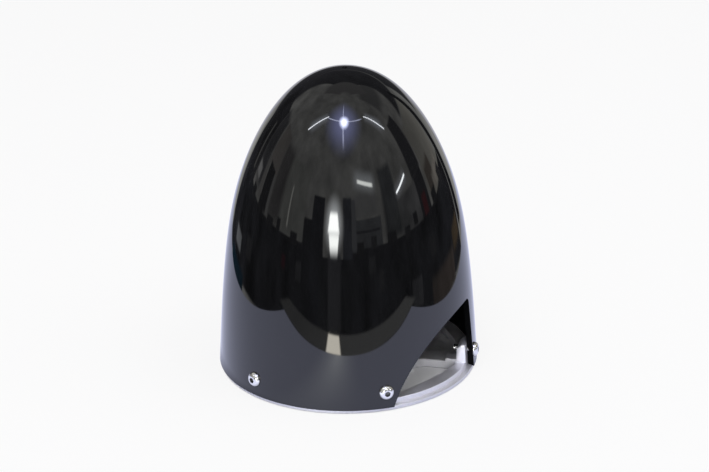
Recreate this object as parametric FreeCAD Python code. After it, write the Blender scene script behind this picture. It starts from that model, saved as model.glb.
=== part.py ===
import FreeCAD, Part
import os
from math import cos, hypot, pi, radians, sin, sqrt, tan

from FreeCAD import Vector

# Propeller spinner for a two-blade model aircraft propeller: a thin moulded cone held to a
# turned and milled backplate by six radial button-head screws.
# Millimetres. The origin is the centre of the backplate's rear face, +Z runs along the shaft
# to the nose, and the two blade openings are centred on +X and -X.

# ---- Backplate: a flange, a spigot inside the cone with windows between spokes, and a hub ----
FLANGE_RADIUS = 50.0
FLANGE_THICKNESS = 1.5
EDGE_BREAK = 0.3
SPIGOT_BREAK = 0.15
WEB_THICKNESS = 3.5
WINDOW_LEDGE = 5.8
WINDOW_DEPTH = 14.1
# The outer side of a window is this many times flatter than a circle about the shaft axis.
WINDOW_FLATNESS = 2.24
WINDOW_OUTER_CORNER = 1.2
WINDOW_INNER_CORNER = 7.0
# The two corners share a window's flank, so neither is rounder than this part of its length.
WINDOW_CORNER_SHARE = 0.49
HUB_PAD_RADIUS = 19.0
HUB_PAD_STEP = 1.5
SHAFT_BORE_RADIUS = 5.0
BORE_CHAMFER = 0.4

# ---- Lugs that the cone is screwed to ----
LUG_COUNT = 6
LUG_WIDTH = 8.5
LUG_DEPTH = 4.05
LUG_CROWN = 3.0
LUG_CHAMFER_RADIAL = 1.8
LUG_CHAMFER_HEIGHT = 1.6
LUG_FOOT_LENGTH = 4.4
LUG_FOOT_STEP = 1.0

# ---- Cone ----
CONE_OVERHANG = 0.8
CONE_HEIGHT = 115.8
CONE_WALL = 2.6
SPIGOT_CLEARANCE = 0.1
# Fullness of the ogive: its three middle poles, as shares of base radius and of height.
OGIVE_POLES = ((0.886, 0.742), (0.795, 0.496), (0.703, 1.0))
GATE_NUB_RADIUS = 0.9
GATE_NUB_HEIGHT = 0.3

# ---- Blade openings, seen from the side, with heights above the cone's base ----
OPENING_COUNT = 2
OPENING_CREST_HEIGHT = 29.7
OPENING_CREST_SETBACK = 4.1
OPENING_TOE_MARGIN = 2.3
OPENING_SIDE_MARGIN = 2.4
OPENING_SIDE_LEAN = 5.2
OPENING_CORNER_RADIUS = 2.5

# ---- M3 x 8 button-head screws ----
SCREW_HEIGHT = 7.7
SCREW_RADIUS = 1.5
SCREW_LENGTH = 8.0
SCREW_TIP_CHAMFER = 0.4
THREAD_CLEARANCE = 0.02
HEAD_RADIUS = 2.85
HEAD_HEIGHT = 1.65
HEAD_RIM_HEIGHT = 0.3
HEAD_CROWN_RADIUS = 1.5
HEAD_FLATNESS = 8
SOCKET_ACROSS_FLATS = 2.0
SOCKET_DEPTH = 1.1
SOCKET_POINT_DEPTH = 0.35
SOCKET_TURN = 23.0
CONE_HOLE_CLEARANCE = 0.2
HEAD_SEAT_DEPTH = 0.1
HEAD_SEAT_CLEARANCE = 0.12

# ---- Worked out from the sizes above ----
CONE_BASE_RADIUS = FLANGE_RADIUS + CONE_OVERHANG
SPIGOT_RADIUS = CONE_BASE_RADIUS - CONE_WALL - SPIGOT_CLEARANCE
WINDOW_OUTER_RADIUS = SPIGOT_RADIUS - WINDOW_LEDGE
WINDOW_INNER_RADIUS = WINDOW_OUTER_RADIUS - WINDOW_DEPTH
HUB_PAD_TOP = WEB_THICKNESS + HUB_PAD_STEP
LUG_PITCH = 360.0 / LUG_COUNT
FIRST_LUG_ANGLE = LUG_PITCH / 2
LUG_TOP = SCREW_HEIGHT + LUG_CROWN
LUG_INNER_RADIUS = SPIGOT_RADIUS - LUG_DEPTH
LUG_FOOT_INNER_RADIUS = LUG_INNER_RADIUS - LUG_FOOT_LENGTH
LUG_FOOT_TOP = WEB_THICKNESS + LUG_FOOT_STEP
OVERSHOOT = 2.0
UP = Vector(0, 0, 1)
ORIGIN = Vector(0, 0, 0)


def lug_angles():
    return [FIRST_LUG_ANGLE + LUG_PITCH * index for index in range(LUG_COUNT)]


def turned(shape, degrees):
    copy = shape.copy()
    copy.rotate(ORIGIN, UP, degrees)
    return copy


def polygon_face(points):
    return Part.Face(Part.makePolygon(points + points[:1]))


def revolved(points):
    """Solid turned about the Z axis from (radius, height) points."""
    return polygon_face([Vector(r, 0, z) for r, z in points]).revolve(ORIGIN, UP, 360)


def ogive(base_radius, height):
    """Outline of the cone from its base edge to its tip, standing on the flange."""
    poles = [(base_radius, 0.0)]
    poles += [(base_radius * across, height * up) for across, up in OGIVE_POLES]
    poles += [(0.0, height)]
    curve = Part.BezierCurve()
    curve.setPoles([Vector(r, 0, FLANGE_THICKNESS + z) for r, z in poles])
    return curve


def ogive_radius(curve, z):
    """Radius of an ogive outline at height z, found by halving its parameter range."""
    low, high = 0.0, 1.0
    for _ in range(40):
        middle = (low + high) / 2
        if curve.value(middle).z < z:
            low = middle
        else:
            high = middle
    return curve.value(low).x


def outer_ogive():
    return ogive(CONE_BASE_RADIUS, CONE_HEIGHT)


def inner_ogive():
    return ogive(CONE_BASE_RADIUS - CONE_WALL, CONE_HEIGHT - CONE_WALL)


def head_seat_radius():
    """Distance from the shaft axis to the underside of a screw head."""
    return ogive_radius(outer_ogive(), SCREW_HEIGHT) - HEAD_SEAT_DEPTH


def radial_cylinder(radius, start, end, angle):
    """Cylinder along a screw axis, from one distance to another out from the shaft axis."""
    cylinder = Part.makeCylinder(radius, end - start, Vector(start, 0, SCREW_HEIGHT), Vector(1, 0, 0))
    return turned(cylinder, angle)


# ---- Cone ----
def cone_shell():
    outer = outer_ogive()
    inner = inner_ogive()
    outer_edge = outer.toShape()
    inner_edge = inner.toShape()
    base = Part.makeLine(inner.value(0.0), outer.value(0.0))
    tip = Part.makeLine(outer.value(1.0), inner.value(1.0))
    wall = Part.Face(Part.Wire([base, outer_edge, tip, inner_edge]))
    shell = wall.revolve(ORIGIN, UP, 360)
    nub_base = outer.value(1.0) - UP * (CONE_WALL / 2)
    nub = Part.makeCylinder(GATE_NUB_RADIUS, CONE_WALL / 2 + GATE_NUB_HEIGHT, nub_base)
    return shell.fuse(nub)


def opening_outline():
    """Side view of a blade opening: an arc that rises from its toe to a crest, a small corner,
    and a nearly upright side beside the next screw."""
    screw_y = head_seat_radius() * sin(radians(FIRST_LUG_ANGLE))
    lean = radians(OPENING_SIDE_LEAN)
    side_foot_y = screw_y - OPENING_SIDE_MARGIN + (SCREW_HEIGHT - FLANGE_THICKNESS) * tan(lean)
    toe_y = OPENING_TOE_MARGIN - screw_y
    crest_y = screw_y - OPENING_SIDE_MARGIN - OPENING_CREST_SETBACK
    run = crest_y - toe_y
    arc_radius = (run ** 2 + OPENING_CREST_HEIGHT ** 2) / (2 * OPENING_CREST_HEIGHT)
    arc_centre = Vector(0, crest_y, FLANGE_THICKNESS + OPENING_CREST_HEIGHT - arc_radius)

    along_side = Vector(0, -sin(lean), cos(lean))
    into_opening = Vector(0, -cos(lean), -sin(lean))
    foot = Vector(0, side_foot_y, FLANGE_THICKNESS)
    to_corner_line = foot + into_opening * OPENING_CORNER_RADIUS - arc_centre
    half_b = to_corner_line.dot(along_side)
    reach = arc_radius - OPENING_CORNER_RADIUS
    climb = -half_b + sqrt(half_b ** 2 - to_corner_line.dot(to_corner_line) + reach ** 2)
    corner_centre = arc_centre + to_corner_line + along_side * climb

    side_end = corner_centre - into_opening * OPENING_CORNER_RADIUS
    outward = (corner_centre - arc_centre).normalize()
    arc_end = arc_centre + outward * arc_radius
    corner_middle = corner_centre + (outward - into_opening).normalize() * OPENING_CORNER_RADIUS
    toe = Vector(0, toe_y, FLANGE_THICKNESS)
    arc_middle = arc_centre + ((toe - arc_centre).normalize() + outward).normalize() * arc_radius
    below = -UP * (FLANGE_THICKNESS + OVERSHOOT)
    return Part.Wire([
        Part.makeLine(toe + below, toe),
        Part.Arc(toe, arc_middle, arc_end).toShape(),
        Part.Arc(arc_end, corner_middle, side_end).toShape(),
        Part.makeLine(side_end, foot),
        Part.makeLine(foot, foot + below),
        Part.makeLine(foot + below, toe + below),
    ])


def blade_opening(angle):
    cutter = Part.Face(opening_outline()).extrude(Vector(CONE_BASE_RADIUS + OVERSHOOT, 0, 0))
    return turned(cutter, angle)


def spinner_cone():
    cone = cone_shell()
    for index in range(OPENING_COUNT):
        cone = cone.cut(blade_opening(360.0 * index / OPENING_COUNT))
    outside = CONE_BASE_RADIUS + OVERSHOOT
    seat = head_seat_radius()
    for angle in lug_angles():
        hole = radial_cylinder(SCREW_RADIUS + CONE_HOLE_CLEARANCE, LUG_INNER_RADIUS, outside, angle)
        head_seat = radial_cylinder(HEAD_RADIUS + HEAD_SEAT_CLEARANCE, seat, outside, angle)
        cone = cone.cut(hole).cut(head_seat)
    return cone


# ---- Backplate ----
def spigot_radius(z):
    """Radius at which the plate's parts stop short of the cone's inner wall."""
    return ogive_radius(inner_ogive(), z) - SPIGOT_CLEARANCE


def flange_and_web():
    return revolved([
        (0, 0),
        (FLANGE_RADIUS - EDGE_BREAK, 0),
        (FLANGE_RADIUS, EDGE_BREAK),
        (FLANGE_RADIUS, FLANGE_THICKNESS),
        (spigot_radius(FLANGE_THICKNESS), FLANGE_THICKNESS),
        (spigot_radius(WEB_THICKNESS), WEB_THICKNESS - SPIGOT_BREAK),
        (spigot_radius(WEB_THICKNESS) - SPIGOT_BREAK, WEB_THICKNESS),
        (HUB_PAD_RADIUS, WEB_THICKNESS),
        (HUB_PAD_RADIUS, HUB_PAD_TOP - EDGE_BREAK),
        (HUB_PAD_RADIUS - EDGE_BREAK, HUB_PAD_TOP),
        (0, HUB_PAD_TOP),
    ])


def lug(angle):
    """Post with a foot on the web; its outer face follows the inside of the cone."""
    side_y = -LUG_WIDTH / 2
    outline = [
        (LUG_FOOT_INNER_RADIUS, FLANGE_THICKNESS),
        (FLANGE_RADIUS, FLANGE_THICKNESS),
        (FLANGE_RADIUS, LUG_TOP),
        (LUG_INNER_RADIUS + LUG_CHAMFER_RADIAL, LUG_TOP),
        (LUG_INNER_RADIUS, LUG_TOP - LUG_CHAMFER_HEIGHT),
        (LUG_INNER_RADIUS, LUG_FOOT_TOP),
        (LUG_FOOT_INNER_RADIUS, LUG_FOOT_TOP),
    ]
    blank = polygon_face([Vector(r, side_y, z) for r, z in outline]).extrude(Vector(0, LUG_WIDTH, 0))
    inside_cone = Part.makeCone(spigot_radius(FLANGE_THICKNESS), spigot_radius(LUG_TOP),
                                LUG_TOP - FLANGE_THICKNESS, UP * FLANGE_THICKNESS)
    return turned(blank.common(inside_cone), angle)


def window(angle):
    """Lightening window between two spokes, with its flanks flush with the sides of the lugs."""
    half_spoke = LUG_WIDTH / 2
    half_pitch = radians(LUG_PITCH / 2)
    flat_radius = WINDOW_FLATNESS * WINDOW_OUTER_RADIUS
    flat_centre = WINDOW_OUTER_RADIUS - flat_radius

    def corner(along, side):
        """Point on the flank of the spoke on one side, at a distance along that spoke."""
        x = along * cos(half_pitch) + half_spoke * sin(half_pitch)
        y = along * sin(half_pitch) - half_spoke * cos(half_pitch)
        return Vector(x, side * y, -OVERSHOOT)

    to_centre = corner(0.0, 1) - Vector(flat_centre, 0, -OVERSHOOT)
    half_b = to_centre.x * cos(half_pitch) + to_centre.y * sin(half_pitch)
    outer_along = -half_b + sqrt(half_b ** 2 - to_centre.dot(to_centre) + flat_radius ** 2)
    inner_along = sqrt(WINDOW_INNER_RADIUS ** 2 - half_spoke ** 2)
    outer_right, outer_left = corner(outer_along, -1), corner(outer_along, 1)
    inner_right, inner_left = corner(inner_along, -1), corner(inner_along, 1)
    outer_arc = Part.Arc(outer_right, Vector(WINDOW_OUTER_RADIUS, 0, -OVERSHOOT), outer_left)
    inner_arc = Part.Arc(inner_left, Vector(WINDOW_INNER_RADIUS, 0, -OVERSHOOT), inner_right)
    outline = Part.Wire([
        outer_arc.toShape(),
        Part.makeLine(outer_left, inner_left),
        inner_arc.toShape(),
        Part.makeLine(inner_right, outer_right),
    ])
    prism = Part.Face(outline).extrude(UP * (WEB_THICKNESS + 2 * OVERSHOOT))
    upright = [edge for edge in prism.Edges if is_upright(edge)]
    middle = (WINDOW_OUTER_RADIUS + WINDOW_INNER_RADIUS) / 2
    outer_edges = [edge for edge in upright if distance_from_axis(edge) > middle]
    inner_edges = [edge for edge in upright if distance_from_axis(edge) < middle]
    roundest = WINDOW_CORNER_SHARE * WINDOW_DEPTH
    prism = prism.makeFillet(min(WINDOW_OUTER_CORNER, roundest), outer_edges)
    inner_edges = [edge for edge in prism.Edges
                   if any(same_place(edge, other) for other in inner_edges)]
    prism = prism.makeFillet(min(WINDOW_INNER_CORNER, roundest), inner_edges)
    return turned(prism, angle)


def is_upright(edge):
    first, last = edge.Vertexes[0].Point, edge.Vertexes[-1].Point
    return hypot(first.x - last.x, first.y - last.y) < 1e-6


def distance_from_axis(edge):
    centre = edge.CenterOfMass
    return hypot(centre.x, centre.y)


def same_place(edge, other):
    return (edge.CenterOfMass - other.CenterOfMass).Length < 1e-4


def shaft_bore():
    return revolved([
        (0, -OVERSHOOT),
        (SHAFT_BORE_RADIUS + BORE_CHAMFER + OVERSHOOT, -OVERSHOOT),
        (SHAFT_BORE_RADIUS, BORE_CHAMFER),
        (SHAFT_BORE_RADIUS, HUB_PAD_TOP - BORE_CHAMFER),
        (SHAFT_BORE_RADIUS + BORE_CHAMFER + OVERSHOOT, HUB_PAD_TOP + OVERSHOOT),
        (0, HUB_PAD_TOP + OVERSHOOT),
    ])


def backplate():
    plate = flange_and_web().fuse([lug(angle) for angle in lug_angles()])
    plate = plate.cut([window(angle - LUG_PITCH / 2) for angle in lug_angles()])
    plate = plate.cut(shaft_bore())
    tapped = [radial_cylinder(SCREW_RADIUS, LUG_FOOT_INNER_RADIUS, CONE_BASE_RADIUS, angle)
              for angle in lug_angles()]
    return plate.cut(tapped).removeSplitter()


# ---- Screws ----
def head_blank():
    """Domed head turned about the X axis, with its underside at x = 0."""
    rim_low = Vector(0, HEAD_RADIUS, 0)
    rim_high = Vector(HEAD_RIM_HEIGHT, HEAD_RADIUS, 0)
    crown_edge = Vector(HEAD_HEIGHT, HEAD_CROWN_RADIUS, 0)
    crown_centre = Vector(HEAD_HEIGHT, 0, 0)
    chord = crown_edge - rim_high
    bulge = Vector(-chord.y, chord.x, 0) / HEAD_FLATNESS
    dome = Part.Arc(rim_high, rim_high + chord / 2 + bulge, crown_edge)
    outline = Part.Wire([
        Part.makeLine(ORIGIN, rim_low),
        Part.makeLine(rim_low, rim_high),
        dome.toShape(),
        Part.makeLine(crown_edge, crown_centre),
        Part.makeLine(crown_centre, ORIGIN),
    ])
    return Part.Face(outline).revolve(ORIGIN, Vector(1, 0, 0), 360)


def hex_socket():
    corner_radius = SOCKET_ACROSS_FLATS / 2 / cos(pi / 6)
    mouth = HEAD_HEIGHT + OVERSHOOT
    floor = HEAD_HEIGHT - SOCKET_DEPTH
    corners = [Vector(floor, corner_radius * cos(pi / 3 * side), corner_radius * sin(pi / 3 * side))
               for side in range(6)]
    prism = polygon_face(corners).extrude(Vector(mouth - floor, 0, 0))
    point = Part.makeCone(SOCKET_ACROSS_FLATS / 2, 0, SOCKET_POINT_DEPTH,
                          Vector(floor, 0, 0), Vector(-1, 0, 0))
    return prism.fuse(point)


def shank():
    radius = SCREW_RADIUS - THREAD_CLEARANCE
    straight = Part.makeCylinder(radius, SCREW_LENGTH - SCREW_TIP_CHAMFER, ORIGIN, Vector(-1, 0, 0))
    tip = Part.makeCone(radius, radius - SCREW_TIP_CHAMFER, SCREW_TIP_CHAMFER,
                        Vector(SCREW_TIP_CHAMFER - SCREW_LENGTH, 0, 0), Vector(-1, 0, 0))
    return straight.fuse(tip)


def side_screw(index, angle):
    socket = hex_socket()
    socket.rotate(ORIGIN, Vector(1, 0, 0), SOCKET_TURN * index)
    screw = head_blank().cut(socket).fuse(shank()).removeSplitter()
    screw.translate(Vector(head_seat_radius(), 0, SCREW_HEIGHT))
    return turned(screw, angle)


def build():
    parts = {
        "spinner_cone": spinner_cone(),
        "backplate": backplate(),
    }
    for index, angle in enumerate(lug_angles(), start=1):
        parts["side_screw_%d" % index] = side_screw(index, angle)
    return parts


os.makedirs("parts", exist_ok=True)
for name, shape in build().items():
    shape.exportStep("parts/%s.step" % name)
    print("%s: %d solid, valid %s, %.1f mm3" % (name, len(shape.Solids), shape.isValid(), shape.Volume))
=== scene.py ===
from math import atan2, cos, hypot, pi, radians, sin, sqrt, tan

import bpy
from mathutils import Matrix, Vector


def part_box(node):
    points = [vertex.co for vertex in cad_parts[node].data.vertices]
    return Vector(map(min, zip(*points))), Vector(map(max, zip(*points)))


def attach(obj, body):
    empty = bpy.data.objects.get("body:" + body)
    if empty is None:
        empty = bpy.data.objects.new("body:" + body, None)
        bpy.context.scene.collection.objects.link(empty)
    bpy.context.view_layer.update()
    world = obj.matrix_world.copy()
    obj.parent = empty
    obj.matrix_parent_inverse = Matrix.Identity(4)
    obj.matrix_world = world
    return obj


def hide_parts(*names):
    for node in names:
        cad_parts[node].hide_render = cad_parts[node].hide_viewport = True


# Propeller spinner: a glossy black moulded cone on a turned and milled aluminium backplate,
# held by six button-head screws. Everything is in metres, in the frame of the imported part.

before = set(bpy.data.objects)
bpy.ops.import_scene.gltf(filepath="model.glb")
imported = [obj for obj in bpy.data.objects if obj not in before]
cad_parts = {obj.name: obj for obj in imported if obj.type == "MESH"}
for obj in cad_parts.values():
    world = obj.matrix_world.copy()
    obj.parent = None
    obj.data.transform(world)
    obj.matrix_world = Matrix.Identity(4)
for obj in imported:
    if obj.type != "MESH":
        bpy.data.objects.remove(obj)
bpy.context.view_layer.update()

MM = 0.001
UP = Vector((0.0, 0.0, 1.0))
ORIGIN = Vector((0.0, 0.0, 0.0))
FULL_TURN = 2 * pi

# ---- Sizes of the part, in metres ----
plate_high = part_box("backplate")[1]
cone_low, cone_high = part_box("spinner_cone")

FLANGE_RADIUS = plate_high.x
FLANGE_THICKNESS = cone_low.z
CONE_RADIUS = cone_high.y
NUB_RADIUS = 0.9 * MM
NUB_HEIGHT = 0.3 * MM
NUB_EDGE = 0.08 * MM
NUB_SINK = 0.004 * MM
NUB_ROOM = 1.3
CONE_HEIGHT = cone_high.z - NUB_HEIGHT - FLANGE_THICKNESS
CONE_WALL = 2.6 * MM
# Fullness of the ogive: its middle poles, as shares of the base radius and of the height.
OGIVE_POLES = ((0.886, 0.742), (0.795, 0.496), (0.703, 1.0))
# Halvings that find a height on the ogive, and the step over which its slope is taken.
HALVINGS = 40
SLOPE_STEP = 0.0005
OUTER_STEPS = 120
INNER_STEPS = 72
ROUND_STEPS = 240
ROD_SIDES = 48
TAP_SIDES = 40
POINT_SIDES = 32
SMOOTH_ANGLE = radians(32.0)
SCREW_SMOOTH_ANGLE = radians(35.0)
# Below this height the skins are cut, so they take the normals of the ogive itself.
SKIN_TOP = 45.0 * MM
SKIN_STEPS = 400
SKIN_GAP = 0.03 * MM
SKIN_FACING = 0.9
# A face of the cone counts as outside while it looks outward by at least this much.
OUTSIDE_FACING = 0.6

SPIGOT_CLEARANCE = 0.1 * MM
SPIGOT_BREAK = 0.15 * MM
EDGE_BREAK = 0.3 * MM
WEB_TOP = 3.5 * MM
HUB_RADIUS = 19.0 * MM
HUB_TOP = 5.0 * MM
BORE_RADIUS = 5.0 * MM
BORE_CHAMFER = 0.4 * MM
WINDOW_OUTER_RADIUS = 42.3 * MM
WINDOW_INNER_RADIUS = 28.2 * MM
# The outer side of a window is this many times flatter than a circle about the shaft axis.
WINDOW_FLATNESS = 2.24
WINDOW_OUTER_CORNER = 1.2 * MM
WINDOW_INNER_CORNER = 6.9 * MM
WINDOW_CHAMFER = 0.2 * MM
WINDOW_UNDERCUT = 0.35 * MM
WINDOW_CORNER_STEPS = 8, 14
WINDOW_SIDE_STEPS = 24, 12

LUG_COUNT = 6
LUG_ANGLES = [radians(30.0 + 60.0 * index) for index in range(LUG_COUNT)]
LUG_WIDTH = 8.5 * MM
LUG_INNER_RADIUS = 44.05 * MM
LUG_TOP = plate_high.z
LUG_CHAMFER_RADIAL = 1.8 * MM
LUG_CHAMFER_HEIGHT = 1.6 * MM
LUG_FOOT_RADIUS = 39.65 * MM
LUG_FOOT_TOP = 4.5 * MM
LUG_ROOT = 1.0 * MM
LUG_EDGE = 0.2 * MM
LUG_TUCK = 0.01 * MM

OPENING_CREST_HEIGHT = 29.7 * MM
OPENING_CREST_SETBACK = 4.1 * MM
OPENING_TOE_MARGIN = 2.3 * MM
OPENING_SIDE_MARGIN = 2.4 * MM
OPENING_SIDE_LEAN = radians(5.2)
OPENING_CORNER_RADIUS = 2.5 * MM
OPENING_COUNT = 2
OPENING_RISE_STEPS = 56
OPENING_TURN_STEPS = 12

SCREW_HEIGHT = 7.7 * MM
SCREW_RADIUS = 1.48 * MM
SCREW_LENGTH = 8.0 * MM
THREAD_PITCH = 0.5 * MM
THREAD_DEPTH = 0.27 * MM
HEAD_RADIUS = 2.85 * MM
HEAD_HEIGHT = 1.65 * MM
HEAD_RIM_HEIGHT = 0.3 * MM
HEAD_CROWN_RADIUS = 1.5 * MM
HEAD_SEAT_DEPTH = 0.1 * MM
HEAD_SEAT_CLEARANCE = 0.12 * MM
HOLE_CLEARANCE = 0.22 * MM
TAP_RADIUS = 1.5 * MM
SOCKET_ACROSS_FLATS = 2.0 * MM
SOCKET_DEPTH = 1.1 * MM
SOCKET_POINT_DEPTH = 0.35 * MM
# The drill point and all that the socket's painted shade covers, as shares of half the flats.
SOCKET_POINT_SHARE = 0.98
SOCKET_SHADE_SHARE = 1.16
SOCKET_TURN = radians(23.0)
SCREW_SIDES = 64
DOME_FLATNESS = 8
DOME_STEPS = 14
SCREW_EDGE = 0.05 * MM
THREAD_STEPS = 40
# Lead of the wound thread, as a share of the pitch. It keeps one turn clear of the next.
THREAD_LEAD = 1.04
THREAD_CREST = (0.44, 0.56)
# How far the cutters run past what they cut.
REACH = 2.0 * MM


# ---- The ogive ----
def ogive_poles(radius, height):
    poles = [(radius, 0.0)]
    poles += [(radius * across, height * up) for across, up in OGIVE_POLES]
    poles += [(0.0, height)]
    return [Vector((r, z + FLANGE_THICKNESS)) for r, z in poles]


OUTER_OGIVE = ogive_poles(CONE_RADIUS, CONE_HEIGHT)
INNER_OGIVE = ogive_poles(CONE_RADIUS - CONE_WALL, CONE_HEIGHT - CONE_WALL)


def along(poles, share):
    """Point on a Bezier curve, as (radius, height)."""
    while len(poles) > 1:
        poles = [a.lerp(b, share) for a, b in zip(poles, poles[1:])]
    return poles[0]


def share_at(poles, z):
    """Share along an ogive at which it reaches a height."""
    low, high = 0.0, 1.0
    for _ in range(HALVINGS):
        middle = (low + high) / 2
        if along(poles, middle).y < z:
            low = middle
        else:
            high = middle
    return low


def ogive_radius(poles, z):
    return along(poles, share_at(poles, z)).x


def ogive_slope(poles, z):
    """Unit normal of an ogive at a height, as (outward, upward)."""
    share = share_at(poles, z)
    run = along(poles, share + SLOPE_STEP) - along(poles, max(share - SLOPE_STEP, 0.0))
    return Vector((run.y, -run.x)).normalized()


HEAD_SEAT = ogive_radius(OUTER_OGIVE, SCREW_HEIGHT) - HEAD_SEAT_DEPTH


def spigot_radius(z):
    return ogive_radius(INNER_OGIVE, z) - SPIGOT_CLEARANCE


# ---- Modelling tools ----
def deselect():
    if bpy.context.object and bpy.context.object.mode != "OBJECT":
        bpy.ops.object.mode_set(mode="OBJECT")
    bpy.ops.object.select_all(action="DESELECT")


def choose(piece):
    deselect()
    piece.select_set(True)
    bpy.context.view_layer.objects.active = piece


def settle():
    """Moves the place, turn and size of the chosen piece into its mesh."""
    bpy.ops.object.transform_apply(location=True, rotation=True, scale=True)


def extrude(push):
    bpy.ops.mesh.extrude_region_move(TRANSFORM_OT_translate={"value": push})


def pulled_line(name, points, closed):
    """A point pulled through the given places, left in edit mode with all of it selected."""
    deselect()
    bpy.ops.mesh.primitive_plane_add(size=MM, location=points[0])
    piece = bpy.context.object
    piece.name = piece.data.name = name
    settle()
    bpy.ops.object.mode_set(mode="EDIT")
    bpy.ops.mesh.select_all(action="SELECT")
    bpy.ops.mesh.merge(type="CENTER")
    for start, end in zip(points, points[1:]):
        extrude(Vector(end) - Vector(start))
    if closed:
        bpy.ops.mesh.select_all(action="SELECT")
        bpy.ops.mesh.edge_face_add()
    bpy.ops.mesh.select_all(action="SELECT")
    return piece


def close_up(piece, seam=0.00001 * MM):
    """Merges what meets and turns every face outwards, then leaves edit mode."""
    bpy.ops.mesh.select_all(action="SELECT")
    bpy.ops.mesh.remove_doubles(threshold=seam)
    bpy.ops.mesh.normals_make_consistent(inside=False)
    bpy.ops.object.mode_set(mode="OBJECT")
    return piece


def lathe(name, profile, steps=ROUND_STEPS, ring=True):
    """Solid spun about the shaft axis from (radius, height) places; a ring closes on its start."""
    places = [(r, 0.0, z) for r, z in profile]
    piece = pulled_line(name, places + places[:1] if ring else places, closed=False)
    bpy.ops.mesh.spin(steps=steps, angle=FULL_TURN, center=ORIGIN, axis=UP)
    return close_up(piece, seam=0.0005 * MM)


def slab(name, outline, push):
    """Closed outline given thickness along one direction."""
    piece = pulled_line(name, outline, closed=True)
    extrude(push)
    return close_up(piece)


def turned_to(piece, angle, roll=0.0, place=ORIGIN):
    """Rolls a piece about X, turns it about the shaft axis and sets it in its place."""
    choose(piece)
    piece.rotation_euler = (roll, 0.0, angle)
    piece.location = place
    settle()
    return piece


def copy_of(piece, name):
    choose(piece)
    bpy.ops.object.duplicate(linked=False)
    twin = bpy.context.object
    twin.name = twin.data.name = name
    return twin


def combine(piece, tool, operation):
    """Cuts a tool out of a piece, or joins it on, and throws the tool away."""
    choose(piece)
    step = piece.modifiers.new("combine", "BOOLEAN")
    step.operation = operation
    step.solver = "EXACT"
    step.object = tool
    bpy.ops.object.modifier_apply(modifier=step.name)
    bpy.data.objects.remove(tool)


def cut(piece, tool):
    combine(piece, tool, "DIFFERENCE")


def join(piece, tool):
    combine(piece, tool, "UNION")


def radial_rod(name, radius, start, end, angle, sides=ROD_SIDES):
    """Rod along a screw's axis, between two distances from the shaft axis."""
    deselect()
    bpy.ops.mesh.primitive_cylinder_add(vertices=sides, radius=radius, depth=end - start,
                                        rotation=(0.0, pi / 2, 0.0),
                                        location=((start + end) / 2, 0.0, SCREW_HEIGHT))
    rod = bpy.context.object
    rod.name = name
    settle()
    return turned_to(rod, angle)


def soften(piece, width, segments=2, angle=radians(35.0)):
    choose(piece)
    step = piece.modifiers.new("soften", "BEVEL")
    step.width = width
    step.segments = segments
    step.limit_method = "ANGLE"
    step.angle_limit = angle
    bpy.ops.object.modifier_apply(modifier=step.name)


def smooth(piece, angle=SMOOTH_ANGLE):
    choose(piece)
    bpy.ops.object.shade_smooth_by_angle(angle=angle)


def finished(piece, finish, slot, *nodes):
    places = [face.material_index for face in piece.data.polygons]
    piece.data.materials.clear()
    piece.data.materials.append(finish)
    piece.data.polygons.foreach_set("material_index", places)
    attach(piece, "root")
    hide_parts(*nodes)
    return piece


def arc(centre, radius, start, end, steps):
    """Places along an arc in the (y, z) plane, from one angle to another."""
    turns = [start + (end - start) * index / steps for index in range(steps + 1)]
    return [(centre[0] + radius * cos(turn), centre[1] + radius * sin(turn)) for turn in turns]


# ---- Cone ----
def opening_outline():
    """Side view of a blade opening as (y, z) places: toe, rising arc, crest corner, leaning side."""
    base = FLANGE_THICKNESS
    screw_y = HEAD_SEAT * sin(LUG_ANGLES[0])
    side_foot = screw_y - OPENING_SIDE_MARGIN + (SCREW_HEIGHT - base) * tan(OPENING_SIDE_LEAN)
    toe = OPENING_TOE_MARGIN - screw_y
    crest = screw_y - OPENING_SIDE_MARGIN - OPENING_CREST_SETBACK
    run = crest - toe
    arc_radius = (run ** 2 + OPENING_CREST_HEIGHT ** 2) / (2 * OPENING_CREST_HEIGHT)
    arc_centre = Vector((crest, base + OPENING_CREST_HEIGHT - arc_radius))
    along_side = Vector((-sin(OPENING_SIDE_LEAN), cos(OPENING_SIDE_LEAN)))
    inward = Vector((-cos(OPENING_SIDE_LEAN), -sin(OPENING_SIDE_LEAN)))
    to_line = Vector((side_foot, base)) + inward * OPENING_CORNER_RADIUS - arc_centre
    half_b = to_line.dot(along_side)
    reach = arc_radius - OPENING_CORNER_RADIUS
    climb = -half_b + sqrt(half_b ** 2 - to_line.dot(to_line) + reach ** 2)
    corner = arc_centre + to_line + along_side * climb

    toe_turn = atan2(base - arc_centre.y, toe - arc_centre.x)
    crest_turn = atan2(corner.y - arc_centre.y, corner.x - arc_centre.x)
    rise = arc(arc_centre, arc_radius, toe_turn, crest_turn, OPENING_RISE_STEPS)
    turn = arc(corner, OPENING_CORNER_RADIUS, crest_turn, OPENING_SIDE_LEAN, OPENING_TURN_STEPS)
    floor = -REACH
    return [(toe, floor)] + rise + turn[1:] + [(side_foot, base), (side_foot, floor)]


def level(place):
    """Direction of a place from the shaft axis."""
    return Vector((place.x, place.y, 0.0)).normalized()


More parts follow.
